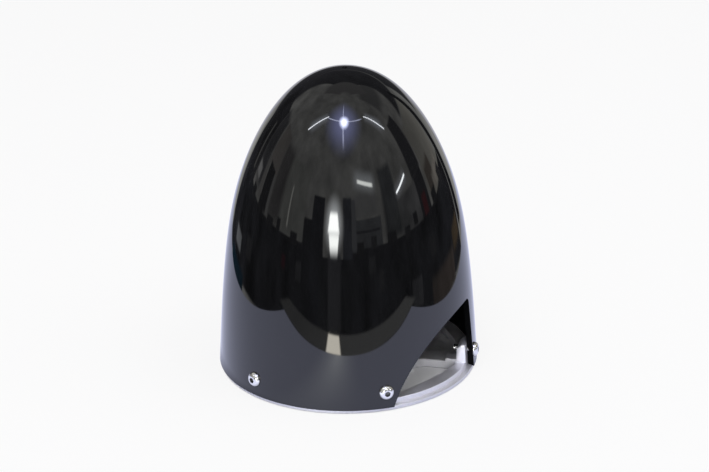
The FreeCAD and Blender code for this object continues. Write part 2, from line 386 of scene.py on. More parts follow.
def true_skin(cone):
    """Gives the skins near the cuts the ogive's own normals, so reflections run on unbroken."""
    mesh = cone.data
    rise = SKIN_TOP - FLANGE_THICKNESS
    heights = [FLANGE_THICKNESS + rise * index / SKIN_STEPS for index in range(SKIN_STEPS + 1)]
    skins = []
    for poles, facing in ((OUTER_OGIVE, 1.0), (INNER_OGIVE, -1.0)):
        rows = [(ogive_radius(poles, z), ogive_slope(poles, z) * facing) for z in heights]
        skins.append((rows, facing))

    def row_at(rows, z):
        index = round((z - FLANGE_THICKNESS) / rise * SKIN_STEPS)
        return rows[min(max(index, 0), SKIN_STEPS)]

    def lies_on(face, places, rows, facing):
        outward = face.normal.dot(level(face.center)) * facing
        if abs(face.normal.z) >= SKIN_FACING or outward <= SKIN_FACING:
            return False
        return all(abs(hypot(p.x, p.y) - row_at(rows, p.z)[0]) < SKIN_GAP for p in places)

    normals = [ORIGIN] * len(mesh.loops)
    for face in mesh.polygons:
        places = [mesh.vertices[v].co for v in face.vertices]
        if max(place.z for place in places) > SKIN_TOP:
            continue
        for rows, facing in skins:
            if lies_on(face, places, rows, facing):
                for loop in face.loop_indices:
                    p = mesh.vertices[mesh.loops[loop].vertex_index].co
                    slope = row_at(rows, p.z)[1]
                    normals[loop] = level(p) * slope.x + UP * slope.y
                break
    mesh.normals_split_custom_set(normals)


def spinner_cone(finish, inside_finish):
    inner = [along(INNER_OGIVE, 1 - index / INNER_STEPS) for index in range(INNER_STEPS + 1)]
    outer = [along(OUTER_OGIVE, index / OUTER_STEPS) for index in range(OUTER_STEPS + 1)]
    crown = OUTER_OGIVE[-1].y
    outer = [p for p in outer if p.x > NUB_RADIUS * NUB_ROOM]
    nub = [
        (NUB_RADIUS, crown - NUB_SINK),
        (NUB_RADIUS, crown + NUB_HEIGHT - NUB_EDGE),
        (NUB_RADIUS - NUB_EDGE, crown + NUB_HEIGHT),
        (0.0, crown + NUB_HEIGHT),
    ]
    profile = [tuple(p) for p in inner + outer] + nub
    cone = lathe("visual_spinner_cone", profile, ring=False)
    places = [(0.0, y, z) for y, z in opening_outline()]
    for index in range(OPENING_COUNT):
        tool = slab("opening_tool", places, Vector((CONE_RADIUS + REACH, 0.0, 0.0)))
        cut(cone, turned_to(tool, FULL_TURN * index / OPENING_COUNT))
    outside = CONE_RADIUS + REACH
    hole_radius, seat_radius = SCREW_RADIUS + HOLE_CLEARANCE, HEAD_RADIUS + HEAD_SEAT_CLEARANCE
    for angle in LUG_ANGLES:
        cut(cone, radial_rod("hole_tool", hole_radius, LUG_INNER_RADIUS, outside, angle))
        cut(cone, radial_rod("seat_tool", seat_radius, HEAD_SEAT, outside, angle))
    smooth(cone)
    true_skin(cone)
    finished(cone, finish, "cone_plastic", "spinner_cone")
    cone.data.materials.append(inside_finish)
    for face in cone.data.polygons:
        outward = level(face.center) if face.center.z < SKIN_TOP else face.center.normalized()
        if face.normal.dot(outward) < OUTSIDE_FACING:
            face.material_index = 1
    return cone


# ---- Backplate ----
def window_outline(z):
    """Window between two spokes, as places at one height. Its flanks are flush with the lugs."""
    half_pitch = pi / LUG_COUNT
    flank = Vector((cos(half_pitch), sin(half_pitch)))
    side = Vector((sin(half_pitch), -cos(half_pitch)))
    flat_radius = WINDOW_FLATNESS * WINDOW_OUTER_RADIUS
    flat_centre = Vector((WINDOW_OUTER_RADIUS - flat_radius, 0.0))
    on_flank = atan2(-side.y, -side.x)

    def corner(circle_centre, reach, radius):
        """Centre of the arc that rounds the corner between a flank and a circle."""
        to_centre = side * (LUG_WIDTH / 2 + radius) - circle_centre
        half_b = to_centre.dot(flank)
        run = -half_b + sqrt(half_b ** 2 - to_centre.dot(to_centre) + reach ** 2)
        return circle_centre + to_centre + flank * run

    outer = corner(flat_centre, flat_radius - WINDOW_OUTER_CORNER, WINDOW_OUTER_CORNER)
    inner_reach = WINDOW_INNER_RADIUS + WINDOW_INNER_CORNER
    inner = corner(Vector((0.0, 0.0)), inner_reach, WINDOW_INNER_CORNER)
    outer_turn = atan2(outer.y, outer.x - flat_centre.x)
    inner_turn = atan2(inner.y, inner.x)
    right = arc(outer, WINDOW_OUTER_CORNER, outer_turn, on_flank, WINDOW_CORNER_STEPS[0])
    right += arc(inner, WINDOW_INNER_CORNER, on_flank, inner_turn + pi, WINDOW_CORNER_STEPS[1])
    left = [(x, -y) for x, y in reversed(right)]
    outer_side = arc(flat_centre, flat_radius, -outer_turn, outer_turn, WINDOW_SIDE_STEPS[0])
    inner_side = arc((0.0, 0.0), WINDOW_INNER_RADIUS, inner_turn, -inner_turn, WINDOW_SIDE_STEPS[1])
    ring = outer_side[1:-1] + right + inner_side[1:-1] + left
    return [(x, y, z) for x, y in ring]


def window_tool():
    """Cutter with flared ends, which leave a small chamfer round both mouths of a window."""
    low, high = WINDOW_UNDERCUT, WEB_TOP - WINDOW_CHAMFER
    tool = pulled_line("window_tool", window_outline(-WINDOW_UNDERCUT), closed=True)
    for lift in (2 * WINDOW_UNDERCUT, high - low, 2 * WINDOW_CHAMFER):
        extrude((0.0, 0.0, lift))
    bpy.ops.object.mode_set(mode="OBJECT")
    ring = [Vector(place) for place in window_outline(0.0)]
    for vertex in tool.data.vertices:
        if low / 2 < vertex.co.z < (high + WEB_TOP) / 2:
            continue
        flare = 2 * (WINDOW_UNDERCUT if vertex.co.z < low else WINDOW_CHAMFER)
        place = min(range(len(ring)), key=lambda index: (ring[index] - vertex.co).xy.length)
        outward = (ring[(place + 1) % len(ring)] - ring[place - 1]).cross(UP).normalized()
        vertex.co += outward * flare
    bpy.ops.object.mode_set(mode="EDIT")
    return close_up(tool)


def lug_blank():
    """Post with a foot; its outer face follows the inside of the cone."""
    half = LUG_WIDTH / 2 - LUG_TUCK
    outline = [
        (LUG_FOOT_RADIUS, LUG_ROOT),
        (CONE_RADIUS, LUG_ROOT),
        (CONE_RADIUS, LUG_TOP),
        (LUG_INNER_RADIUS + LUG_CHAMFER_RADIAL, LUG_TOP),
        (LUG_INNER_RADIUS, LUG_TOP - LUG_CHAMFER_HEIGHT),
        (LUG_INNER_RADIUS, LUG_FOOT_TOP),
        (LUG_FOOT_RADIUS, LUG_FOOT_TOP),
    ]
    lug = slab("lug", [(r, -half, z) for r, z in outline], Vector((0.0, 2 * half, 0.0)))
    low, high = LUG_ROOT - REACH, LUG_TOP + REACH
    wall = lathe("lug_wall", [
        (0.0, low),
        (spigot_radius(FLANGE_THICKNESS) - LUG_TUCK, low),
        (spigot_radius(FLANGE_THICKNESS) - LUG_TUCK, FLANGE_THICKNESS),
        (spigot_radius(LUG_TOP) - LUG_TUCK, LUG_TOP),
        (spigot_radius(LUG_TOP) - LUG_TUCK, high),
        (0.0, high),
    ], ring=False)
    combine(lug, wall, "INTERSECT")
    soften(lug, LUG_EDGE)
    return lug


def backplate(finish):
    spigot_low, spigot_high = spigot_radius(FLANGE_THICKNESS), spigot_radius(WEB_TOP)
    plate = lathe("visual_backplate", [
        (BORE_RADIUS, BORE_CHAMFER),
        (BORE_RADIUS, HUB_TOP - BORE_CHAMFER),
        (BORE_RADIUS + BORE_CHAMFER, HUB_TOP),
        (HUB_RADIUS - EDGE_BREAK, HUB_TOP),
        (HUB_RADIUS, HUB_TOP - EDGE_BREAK),
        (HUB_RADIUS, WEB_TOP),
        (spigot_high - SPIGOT_BREAK, WEB_TOP),
        (spigot_high, WEB_TOP - SPIGOT_BREAK),
        (spigot_low, FLANGE_THICKNESS),
        (FLANGE_RADIUS - EDGE_BREAK / 2, FLANGE_THICKNESS),
        (FLANGE_RADIUS, FLANGE_THICKNESS - EDGE_BREAK / 2),
        (FLANGE_RADIUS, EDGE_BREAK),
        (FLANGE_RADIUS - EDGE_BREAK, 0.0),
        (BORE_RADIUS + BORE_CHAMFER, 0.0),
    ])
    window = window_tool()
    for angle in LUG_ANGLES:
        cut(plate, turned_to(copy_of(window, "window_copy"), angle + pi / LUG_COUNT))
    bpy.data.objects.remove(window)
    lug = lug_blank()
    for angle in LUG_ANGLES:
        join(plate, turned_to(copy_of(lug, "lug_copy"), angle))
        cut(plate, radial_rod("tap", TAP_RADIUS, LUG_FOOT_RADIUS, CONE_RADIUS, angle, sides=TAP_SIDES))
    bpy.data.objects.remove(lug)
    smooth(plate)
    return finished(plate, finish, "plate_aluminium", "backplate")


# ---- Screws ----
def screw_blank():
    """Button-head screw along X with its underside at the origin."""
    rim = Vector((HEAD_RADIUS, HEAD_RIM_HEIGHT))
    crown = Vector((HEAD_CROWN_RADIUS, HEAD_HEIGHT))
    chord = crown - rim
    bulge = Vector((-chord.y, chord.x)).normalized() * chord.length / DOME_FLATNESS
    if bulge.y < 0:
        bulge = -bulge
    top = rim + chord / 2 + bulge
    poles = [rim, 2 * top - (rim + crown) / 2, crown]
    dome = [along(poles, index / DOME_STEPS) for index in range(DOME_STEPS + 1)]
    edge = SCREW_EDGE
    root = SCREW_RADIUS - THREAD_DEPTH
    profile = [(0.0, -SCREW_LENGTH), (root - 2 * edge, -SCREW_LENGTH), (root, -SCREW_LENGTH + 2 * edge),
               (root, -edge), (root + edge, 0.0), (HEAD_RADIUS - edge, 0.0), (HEAD_RADIUS, edge)]
    profile += [tuple(p) for p in dome]
    profile += [(0.0, HEAD_HEIGHT)]
    screw = lathe("screw", profile, steps=SCREW_SIDES, ring=False)

    flat = SOCKET_ACROSS_FLATS / 2
    socket_middle = HEAD_HEIGHT + (REACH - SOCKET_DEPTH) / 2
    deselect()
    bpy.ops.mesh.primitive_cylinder_add(
        vertices=6, radius=flat / cos(pi / 6), depth=SOCKET_DEPTH + REACH,
        location=(0.0, 0.0, socket_middle))
    socket = bpy.context.object
    settle()
    cut(screw, socket)
    point_middle = HEAD_HEIGHT - SOCKET_DEPTH - SOCKET_POINT_DEPTH / 2 + edge / 5
    bpy.ops.mesh.primitive_cone_add(
        vertices=POINT_SIDES, radius1=0.0, radius2=flat * SOCKET_POINT_SHARE,
        depth=SOCKET_POINT_DEPTH, location=(0.0, 0.0, point_middle))
    point = bpy.context.object
    settle()
    cut(screw, point)

    join(screw, thread_blank(root - edge))
    screw.data.materials.append(None)
    screw.data.materials.append(None)
    # Faces inside the socket take the second slot, the darkened steel: painted shade of the recess.
    socket_reach = flat * SOCKET_SHADE_SHARE
    for face in screw.data.polygons:
        inside = hypot(face.center.x, face.center.y) < socket_reach
        face.material_index = 1 if inside and 0.0 < face.center.z < HEAD_HEIGHT - edge else 0
    screw.rotation_euler = (0.0, pi / 2, 0.0)
    choose(screw)
    settle()
    return screw


def thread_blank(inner):
    """V-shaped ridge wound along the shank, with its ends closed."""
    turns = int((SCREW_LENGTH - THREAD_PITCH) / THREAD_PITCH) - 1
    start = -SCREW_LENGTH + THREAD_PITCH / 2
    ridge = [
        (inner, 0.0, start),
        (SCREW_RADIUS, 0.0, start + THREAD_PITCH * THREAD_CREST[0]),
        (SCREW_RADIUS, 0.0, start + THREAD_PITCH * THREAD_CREST[1]),
        (inner, 0.0, start + THREAD_PITCH),
    ]
    thread = pulled_line("thread", ridge + ridge[:1], closed=False)
    bpy.ops.mesh.remove_doubles(threshold=0.0001 * MM)
    bpy.ops.object.mode_set(mode="OBJECT")
    wind = thread.modifiers.new("wind", "SCREW")
    wind.axis = "Z"
    wind.angle = FULL_TURN
    wind.screw_offset = THREAD_PITCH * THREAD_LEAD
    wind.iterations = turns
    wind.steps = wind.render_steps = THREAD_STEPS
    wind.use_merge_vertices = False
    bpy.ops.object.modifier_apply(modifier=wind.name)
    bpy.ops.object.mode_set(mode="EDIT")
    bpy.ops.mesh.select_all(action="SELECT")
    bpy.ops.mesh.fill_holes(sides=0)
    return close_up(thread)


def side_screws(finish, socket_painted_shade):
    blank = screw_blank()
    smooth(blank, SCREW_SMOOTH_ANGLE)
    for index, angle in enumerate(LUG_ANGLES, start=1):
        screw = copy_of(blank, "visual_side_screw_%d" % index)
        place = Vector((HEAD_SEAT * cos(angle), HEAD_SEAT * sin(angle), SCREW_HEIGHT))
        turned_to(screw, angle, roll=SOCKET_TURN * index, place=place)
        finished(screw, finish, "screw_steel", "side_screw_%d" % index)
        # Second slot: the darkened steel that paints the socket's shade.
        screw.data.materials.append(socket_painted_shade)
    bpy.data.objects.remove(blank)


# ---- Finishes ----
def new_finish(name):
    finish = bpy.data.materials.new(name)
    finish.use_nodes = True
    nodes = finish.node_tree.nodes
    return finish, nodes, finish.node_tree.links, nodes["Principled BSDF"]


def set_inputs(node, **values):
    for name, value in values.items():
        node.inputs[name.replace("_", " ")].default_value = value
    return node


def object_place(nodes, links, scale=(1.0, 1.0, 1.0)):
    coordinates = nodes.new("ShaderNodeTexCoord")
    mapping = nodes.new("ShaderNodeMapping")
    mapping.inputs["Scale"].default_value = scale
    links.new(coordinates.outputs["Object"], mapping.inputs["Vector"])
    return mapping.outputs["Vector"]


def noise(nodes, links, place, scale, detail=2.0, roughness=0.5):
    node = nodes.new("ShaderNodeTexNoise")
    set_inputs(node, Scale=scale, Detail=detail, Roughness=roughness)
    links.new(place, node.inputs["Vector"])
    return node.outputs["Fac"]


def spread(nodes, links, value, low, high, start=0.0, end=1.0):
    node = nodes.new("ShaderNodeMapRange")
    set_inputs(node, From_Min=start, From_Max=end, To_Min=low, To_Max=high)
    links.new(value, node.inputs["Value"])
    return node.outputs["Result"]


def bump(nodes, links, height, strength, distance, normal=None):
    node = nodes.new("ShaderNodeBump")
    set_inputs(node, Strength=strength, Distance=distance)
    links.new(height, node.inputs["Height"])
    if normal is not None:
        links.new(normal, node.inputs["Normal"])
    return node.outputs["Normal"]


PLASTIC_COLOUR = (0.0045, 0.0046, 0.0050, 1.0)
ALUMINIUM_COLOUR = (0.80, 0.79, 0.82, 1.0)
STEEL_COLOUR = (0.72, 0.71, 0.68, 1.0)
# Steel darkened inside the hex socket: painted shade of the recess.
SOCKET_SHADE_COLOUR = (0.20, 0.20, 0.20, 1.0)
PLASTIC_IOR = 1.54
INSIDE_GLOSS = 0.04
ALUMINIUM_METALLIC = 0.8

# Roughness of each finish, from its smoothest spots to its roughest.
GLOSS_ROUGHNESS = (0.02, 0.05)
INSIDE_ROUGHNESS = (0.62, 0.78)
ALUMINIUM_ROUGHNESS = (0.42, 0.58)
STEEL_ROUGHNESS = (0.14, 0.26)
SOCKET_ROUGHNESS = (0.40, 0.55)

# Noise patterns, each as its scale per metre and its detail.
POLISH = (60.0, 3.0)
MOULD_SINK = (38.0, 1.0)
MOULD_GRAIN = (700.0, 3.0)
TURNED_RINGS = (2600.0, 2.0)
MILLED_STREAKS = (1400.0, 2.0)
BLUSH = (160.0, 3.0)
BLUSH_SHARE = 0.6
PLATING_GRAIN = (1500.0, 2.0)
# The part of a noise pattern's range that is spread out, because it seldom leaves it.
NOISE_LOW, NOISE_HIGH = 0.3, 0.7
WEAR_LOW, WEAR_HIGH = 0.35, 0.65
# Milled streaks stand upright: the pattern is drawn out this much along the shaft axis.
STREAK_SQUEEZE = (1.0, 1.0, 0.06)

# Relief, each as its strength and its height in metres.
SINK_RELIEF = (0.1, 0.4 * MM)
GRAIN_RELIEF = (0.2, 0.06 * MM)
RING_RELIEF = (0.5, 0.04 * MM)
STREAK_RELIEF = (0.35, 0.04 * MM)
PLATING_RELIEF = (0.1, 0.03 * MM)


def grained(name, wear, roughness, grain, relief, **values):
    """Finish whose roughness and relief each follow a noise pattern."""
    finish, nodes, links, shader = new_finish(name)
    set_inputs(shader, **values)
    place = object_place(nodes, links)
    worn = noise(nodes, links, place, *wear)
    links.new(spread(nodes, links, worn, *roughness, NOISE_LOW, NOISE_HIGH), shader.inputs["Roughness"])
    height = worn if grain == wear else noise(nodes, links, place, *grain)
    links.new(bump(nodes, links, height, *relief), shader.inputs["Normal"])
    return finish


def gloss_plastic():
    """Polished black moulding, with the faint sink marks of its wall."""
    return grained("cone_plastic_finish", POLISH, GLOSS_ROUGHNESS, MOULD_SINK, SINK_RELIEF,
                   Base_Color=PLASTIC_COLOUR, IOR=PLASTIC_IOR)


def satin_inside():
    """Moulded inside of the cone and the trimmed edges of its openings, with no polish."""
    return grained("cone_inside_finish", MOULD_GRAIN, INSIDE_ROUGHNESS, MOULD_GRAIN, GRAIN_RELIEF,
                   Base_Color=PLASTIC_COLOUR, IOR=PLASTIC_IOR, Specular_IOR_Level=INSIDE_GLOSS)


def bright_steel(name, colour, roughness):
    """Plated steel with a fine grain."""
    return grained(name, PLATING_GRAIN, roughness, PLATING_GRAIN, PLATING_RELIEF,
                   Base_Color=colour, Metallic=1.0)


def turned_aluminium():
    """Satin aluminium: turned rings on its round faces, and upright streaks on its milled
    sides."""
    finish, nodes, links, shader = new_finish("plate_aluminium_finish")
    coordinates = nodes.new("ShaderNodeTexCoord")
    parts = nodes.new("ShaderNodeSeparateXYZ")
    links.new(coordinates.outputs["Object"], parts.inputs[0])
    from_axis = distance(nodes, links, parts.outputs["X"], parts.outputs["Y"])
    ring_place = nodes.new("ShaderNodeCombineXYZ")
    links.new(from_axis, ring_place.inputs["X"])
    rings = noise(nodes, links, ring_place.outputs["Vector"], *TURNED_RINGS)
    streaks = noise(nodes, links, object_place(nodes, links, STREAK_SQUEEZE), *MILLED_STREAKS)
    blush = noise(nodes, links, object_place(nodes, links), *BLUSH)
    set_inputs(shader, Base_Color=ALUMINIUM_COLOUR, Metallic=ALUMINIUM_METALLIC)
    wear = maths(nodes, links, "ADD", maths(nodes, links, "MULTIPLY", blush, BLUSH_SHARE),
                 maths(nodes, links, "MULTIPLY", streaks, 1.0 - BLUSH_SHARE))
    links.new(spread(nodes, links, wear, *ALUMINIUM_ROUGHNESS, WEAR_LOW, WEAR_HIGH),
              shader.inputs["Roughness"])
    ridged = bump(nodes, links, rings, *RING_RELIEF)
    links.new(bump(nodes, links, streaks, *STREAK_RELIEF, ridged), shader.inputs["Normal"])
    return finish


# ---- Studio ----
# Bearings in the studio are counted from its front, toward its right, and its front looks
# this far round from -Y.
STUDIO_TURN = radians(43.93)
ROOM_RADIUS = 3.0
ROOM_CENTRE = Vector((0.0, 0.0, 0.06))
ROOM_COLOUR = (0.62, 0.62, 0.60)
CLUTTER_SCALE = 1.6
CLUTTER_COLOUR = (0.045, 0.046, 0.055)
WHITE = 1.0

# The table and the strip of bare floor in front of it, which only gloss shows.
TABLE_TINT = (1.06, 1.11, 1.45)
TABLE_LEFT, TABLE_RIGHT, TABLE_FRONT = -0.166, 0.172, -0.131
TABLE_EDGE = 0.001
TABLE_FADE = (1.0, 0.78, -0.07, 0.06)
CONTACT_SHADE = 0.45
CONTACT_REACH = 7 * MM
SHEEN_COLOUR = (1.5, 1.55, 1.45)
SHEEN_MIDDLE, SHEEN_HALF_WIDTH, SHEEN_DEPTH = -0.017, 0.035, 0.13
STRIP_HALF_WIDTH, STRIP_FRONT = 0.20, -0.176
STRIP_SOFTNESS = (0.01, 0.005)
STRIP_COLOUR = (1.0, 1.0, 0.99)
STRIP_FADE = (0.27, 0.47, -0.12, 0.0)
PATCH_LEFT, PATCH_RIGHT, PATCH_FRONT, PATCH_SLANT = -0.0105, 0.0145, -0.172, 0.2
PATCH_SOFTNESS = (0.002, 0.004)
PATCH_COLOUR = (9.0, 8.5, 7.4)
FLOOR_SIZE = 8.0
FLOOR_COLOUR = (0.86, 0.86, 0.87, 1.0)
# Share of the floor that is plain white to the camera. The rest takes the part's shadow.
FLOOR_WHITE = 0.84
FLOOR_DROP = 0.02 * MM
FLANGE_SOFTNESS = 0.5 * MM
SHEET_BACK, SHEET_HEIGHT = 0.33, 0.13
SHEET_COLOUR = (0.72, 0.72, 0.81)

SKY_COLOUR, SKY_STRENGTH = (1.0, 1.0, 1.02), 0.55
WALL_COLOUR, WALL_STRENGTH = (0.50, 0.50, 0.48), 0.8
BACKDROP_COLOUR = (WHITE, WHITE, 0.97)
LAMP_DISTANCE = 1.6


def emitter(nodes, colour, strength=1.0):
    return set_inputs(nodes.new("ShaderNodeEmission"), Color=(*colour, 1.0), Strength=strength)


def maths(nodes, links, operation, first, second=None, clamp=False):
    node = nodes.new("ShaderNodeMath")
    node.operation = operation
    node.use_clamp = clamp
    for socket, value in zip(node.inputs, (first, second)):
        if value is None:
            continue
        if isinstance(value, (int, float)):
            socket.default_value = value
        else:
            links.new(value, socket)
    return node.outputs[0]


def length(nodes, links, vector):
    node = nodes.new("ShaderNodeVectorMath")
    node.operation = "LENGTH"
    links.new(vector, node.inputs[0])
    return node.outputs["Value"]


def distance(nodes, links, across, up):
    """Length of a line from its two sides."""
    squares = [maths(nodes, links, "MULTIPLY", side, side) for side in (across, up)]
    return maths(nodes, links, "SQRT", maths(nodes, links, "ADD", *squares))


def mixed(nodes, links, share, first, second):
    node = nodes.new("ShaderNodeMixShader")
    if isinstance(share, (int, float)):
        node.inputs[0].default_value = share
    else:
        links.new(share, node.inputs[0])
    links.new(first, node.inputs[1])
    links.new(second, node.inputs[2])
    return node.outputs[0]


def step_up(nodes, links, value, edge, softness):
    """0 below an edge and 1 above it, with a soft change."""
    node = nodes.new("ShaderNodeMapRange")
    node.interpolation_type = "SMOOTHSTEP"
    set_inputs(node, From_Min=edge - softness, From_Max=edge + softness, To_Min=0.0, To_Max=1.0)
    links.new(value, node.inputs["Value"])
    return node.outputs["Result"]


def between(nodes, links, value, low, high, softness):
    rise = step_up(nodes, links, value, low, softness)
    fall = step_up(nodes, links, value, high, softness)
    return maths(nodes, links, "SUBTRACT", rise, fall, clamp=True)


def new_stage_finish(name):
    finish, nodes, links, _ = new_finish(name)
    nodes.clear()
    return finish, nodes, links, nodes.new("ShaderNodeOutputMaterial")


def floor_finish():
    """Pale to the camera. Gloss on the part shows a white table with its near edge, a strip of
    grey floor in front of it, and the dark room beyond."""
    finish, nodes, links, output = new_stage_finish("floor_finish")
    light_path = nodes.new("ShaderNodeLightPath")
    coordinates = nodes.new("ShaderNodeTexCoord")
    mapping = nodes.new("ShaderNodeMapping")
    mapping.vector_type = "TEXTURE"
    mapping.inputs["Rotation"].default_value = (0.0, 0.0, STUDIO_TURN)
    links.new(coordinates.outputs["Object"], mapping.inputs["Vector"])
    parts = nodes.new("ShaderNodeSeparateXYZ")
    links.new(mapping.outputs["Vector"], parts.inputs[0])
    x, y = parts.outputs["X"], parts.outputs["Y"]

    table = maths(nodes, links, "MULTIPLY",
                  between(nodes, links, x, TABLE_LEFT, TABLE_RIGHT, TABLE_EDGE),
                  step_up(nodes, links, y, TABLE_FRONT, TABLE_EDGE))
    strip = maths(nodes, links, "MULTIPLY",
                  between(nodes, links, x, -STRIP_HALF_WIDTH, STRIP_HALF_WIDTH, STRIP_SOFTNESS[0]),
                  between(nodes, links, y, STRIP_FRONT, TABLE_FRONT, STRIP_SOFTNESS[1]))
    slanted_x = maths(nodes, links, "SUBTRACT", x, maths(nodes, links, "MULTIPLY", y, PATCH_SLANT))
    patch = maths(nodes, links, "MULTIPLY",
                  between(nodes, links, slanted_x, PATCH_LEFT, PATCH_RIGHT, PATCH_SOFTNESS[0]),
                  between(nodes, links, y, PATCH_FRONT, TABLE_FRONT, PATCH_SOFTNESS[1]))
    clear = nodes.new("ShaderNodeBsdfTransparent").outputs[0]
    bare = emitter(nodes, STRIP_COLOUR)
    links.new(spread(nodes, links, x, *STRIP_FADE), bare.inputs["Strength"])
    room = mixed(nodes, links, strip, clear, bare.outputs[0])
    room = mixed(nodes, links, patch, room, emitter(nodes, PATCH_COLOUR).outputs[0])

    from_middle = maths(nodes, links, "SUBTRACT", x, SHEEN_MIDDLE)
    from_front = maths(nodes, links, "SUBTRACT", y, TABLE_FRONT)
    away = distance(nodes, links, maths(nodes, links, "DIVIDE", from_middle, SHEEN_HALF_WIDTH),
                    maths(nodes, links, "DIVIDE", from_front, SHEEN_DEPTH))
    near_glow = maths(nodes, links, "SUBTRACT", 1.0, away, clamp=True)
    sheen = emitter(nodes, SHEEN_COLOUR)
    links.new(maths(nodes, links, "MULTIPLY", near_glow, near_glow), sheen.inputs["Strength"])
    from_axis = length(nodes, links, coordinates.outputs["Object"])
    near_part = spread(nodes, links, from_axis, CONTACT_SHADE, 1.0,
                       FLANGE_RADIUS, FLANGE_RADIUS + CONTACT_REACH)
    tabletop = emitter(nodes, TABLE_TINT)
    links.new(maths(nodes, links, "MULTIPLY", near_part, spread(nodes, links, y, *TABLE_FADE)),
              tabletop.inputs["Strength"])
    lit_table = nodes.new("ShaderNodeAddShader")
    links.new(tabletop.outputs[0], lit_table.inputs[0])
    links.new(sheen.outputs[0], lit_table.inputs[1])
    glossy = mixed(nodes, links, table, room, lit_table.outputs[0])

    diffuse = nodes.new("ShaderNodeBsdfDiffuse")
    diffuse.inputs["Color"].default_value = FLOOR_COLOUR
    diffuse = diffuse.outputs[0]
    white = emitter(nodes, (WHITE, WHITE, WHITE)).outputs[0]
    open_floor = step_up(nodes, links, from_axis, FLANGE_RADIUS, FLANGE_SOFTNESS)
    glossy = mixed(nodes, links, open_floor, diffuse, glossy)
    whitened = maths(nodes, links, "MULTIPLY", open_floor, FLOOR_WHITE)
    shown = mixed(nodes, links, whitened, diffuse, white)
    plain = mixed(nodes, links, light_path.outputs["Is Camera Ray"], diffuse, shown)
    plain = mixed(nodes, links, light_path.outputs["Is Transmission Ray"], plain, white)
    links.new(mixed(nodes, links, light_path.outputs["Is Glossy Ray"], plain, glossy),
              output.inputs[0])
    return finish


def build_floor():
    deselect()
    bpy.ops.mesh.primitive_plane_add(size=FLOOR_SIZE, location=(0.0, 0.0, -FLOOR_DROP))
    floor = bpy.context.object
    floor.name = "floor"
    floor.data.materials.append(floor_finish())


def panel_finish(name, colour, fade, oval, clutter):
    """Glow of a panel: it fades at its edges, an oval from its middle, and clutter makes it
    patchy."""
    finish, nodes, links, output = new_stage_finish(name)
    light = emitter(nodes, colour)
    glow = light.outputs[0]
    coordinates = nodes.new("ShaderNodeTexCoord")
    if clutter:
        patches = noise(nodes, links, coordinates.outputs["Object"], CLUTTER_SCALE, 3.0, 0.55)
        links.new(spread(nodes, links, patches, 1.0 - clutter, 1.0 + clutter, NOISE_LOW, NOISE_HIGH),
                  light.inputs["Strength"])
    if max(fade) > 0.0:
        mapping = nodes.new("ShaderNodeMapping")
        set_inputs(mapping, Location=(-1.0, -1.0, 0.0), Scale=(2.0, 2.0, 0.0))
        links.new(coordinates.outputs["UV"], mapping.inputs["Vector"])
        if oval:
            from_middle = length(nodes, links, mapping.outputs["Vector"])
            shown = soft_edge(nodes, links, from_middle, fade[0])
        else:
            parts = nodes.new("ShaderNodeSeparateXYZ")
            links.new(mapping.outputs["Vector"], parts.inputs[0])
            sides = [soft_edge(nodes, links, maths(nodes, links, "ABSOLUTE", parts.outputs[axis]), share)
                     for axis, share in zip("XY", fade)]
            shown = maths(nodes, links, "MULTIPLY", *sides)
        clear = nodes.new("ShaderNodeBsdfTransparent")
        glow = mixed(nodes, links, shown, clear.outputs[0], glow)
    links.new(glow, output.inputs[0])
    return finish


def soft_edge(nodes, links, distance, share):
    """1 in the middle of a panel, and down to 0 over the outer share of its half width."""
    node = nodes.new("ShaderNodeMapRange")
    node.interpolation_type = "SMOOTHSTEP"
    set_inputs(node, From_Min=1.0 - max(share, 0.001), From_Max=1.0, To_Min=1.0, To_Max=0.0)
    links.new(distance, node.inputs["Value"])
    return node.outputs["Result"]


# A panel is bent to the round of the room in steps of this many degrees.
PANEL_STEP = 6


def bearing(azimuth, elevation):
    """Direction from the middle of the studio, from its bearing and its height in degrees."""
    turn = radians(azimuth) + STUDIO_TURN
    lift = radians(elevation)
    return Vector((sin(turn) * cos(lift), -cos(turn) * cos(lift), sin(lift)))


def only_in_gloss(piece):
    for ray in ("camera", "diffuse", "shadow", "transmission", "volume_scatter"):
        setattr(piece, "visible_" + ray, False)


def panel(name, corners, colour, soft=(0.0, 0.0), oval=False, clutter=0.0, bow=0.0, depth=1.0):
    """Part of the room that only gloss shows, between four bearings in degrees: low left, low
    right, high right and high left. The softness of its sides and ends, and how far it bows up
    in the middle, are in degrees too."""
    low_left, low_right, high_right, high_left = [Vector(corner) for corner in corners]
    width = max((low_right - low_left).length, (high_right - high_left).length)
    height = max((high_left - low_left).length, (high_right - low_right).length)
    deselect()
    columns, rows = int(width / PANEL_STEP) + 1, int(height / PANEL_STEP) + 1
    bpy.ops.mesh.primitive_grid_add(x_subdivisions=columns, y_subdivisions=rows, size=1.0)
    piece = bpy.context.object
    piece.name = "room_" + name
    for vertex in piece.data.vertices:
        across, up = vertex.co.x + 0.5, vertex.co.y + 0.5
        low = low_left.lerp(low_right, across)
        high = high_left.lerp(high_right, across)
        place = low.lerp(high, up) + Vector((0.0, 4 * bow * across * (1 - across)))
        vertex.co = ROOM_CENTRE + bearing(*place) * ROOM_RADIUS * depth
    if isinstance(soft, float):
        soft = (soft, soft)
    fade = (1.0, 1.0) if oval else (min(2 * soft[0] / width, 1.0), min(2 * soft[1] / height, 1.0))
    piece.data.materials.append(panel_finish(piece.name, colour, fade, oval, clutter))
    only_in_gloss(piece)


def upright(name, left, right, low, high, colour, **more):
    panel(name, ((left, low), (right, low), (right, high), (left, high)), colour, **more)


def tube(name, start, end, thickness, colour, **more):
    """Long lamp between two bearings."""
    start, end = Vector(start), Vector(end)
    run = end - start
    squeeze = cos(radians((start.y + end.y) / 2))
    side = Vector((-run.y / squeeze, run.x * squeeze)).normalized() * thickness / 2
    panel(name, (start - side, end - side, end + side, start + side), colour, **more)


